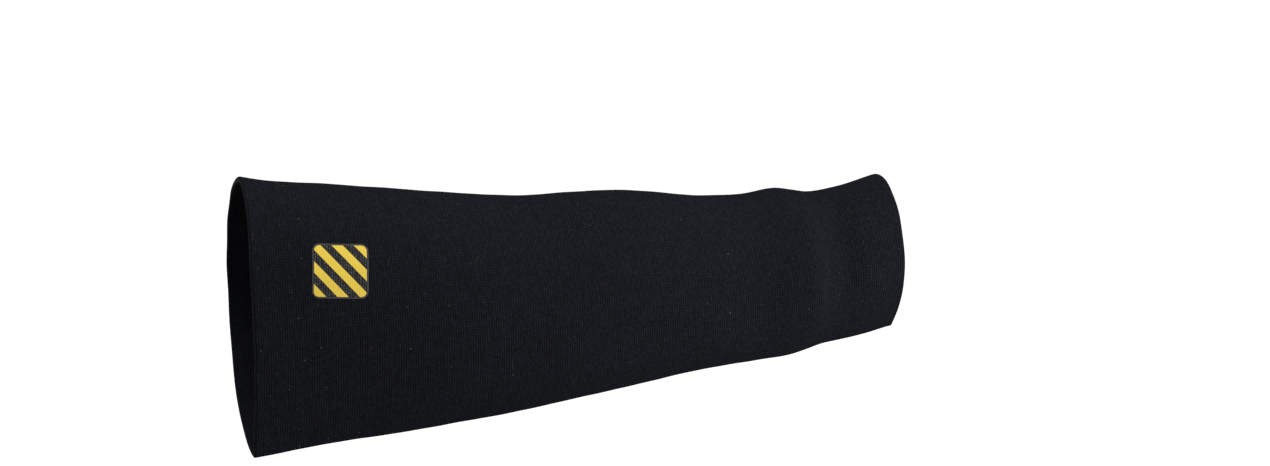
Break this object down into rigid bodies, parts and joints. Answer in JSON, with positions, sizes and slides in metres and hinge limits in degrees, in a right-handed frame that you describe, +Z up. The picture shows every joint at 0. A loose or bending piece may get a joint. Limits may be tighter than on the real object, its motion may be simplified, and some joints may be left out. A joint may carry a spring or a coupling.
{
  "type": "neoprene arm sleeve",
  "caption": "Tapered tube of black foam cloth, open at both ends, that covers a forearm from elbow to wrist, with a small film patch near the elbow.",
  "frame": {"origin": "middle of the wrist opening, where the arm passes through and the sleeve grips it", "axes": "+X along the sleeve out of the wrist opening, +Z up, -Y the near side with the patch"},
  "size_m": [0.2865, 0.0961, 0.119],
  "materials": {
    "neoprene_jersey": "matt black knitted jersey over foam, with a soft sheen",
    "transfer_film": "thin satin film with yellow print on dark grey"
  },
  "bodies": {
    "root": {"neoprene_sleeve": "neoprene_jersey", "transfer_patch": "transfer_film"}
  },
  "joints": []
}
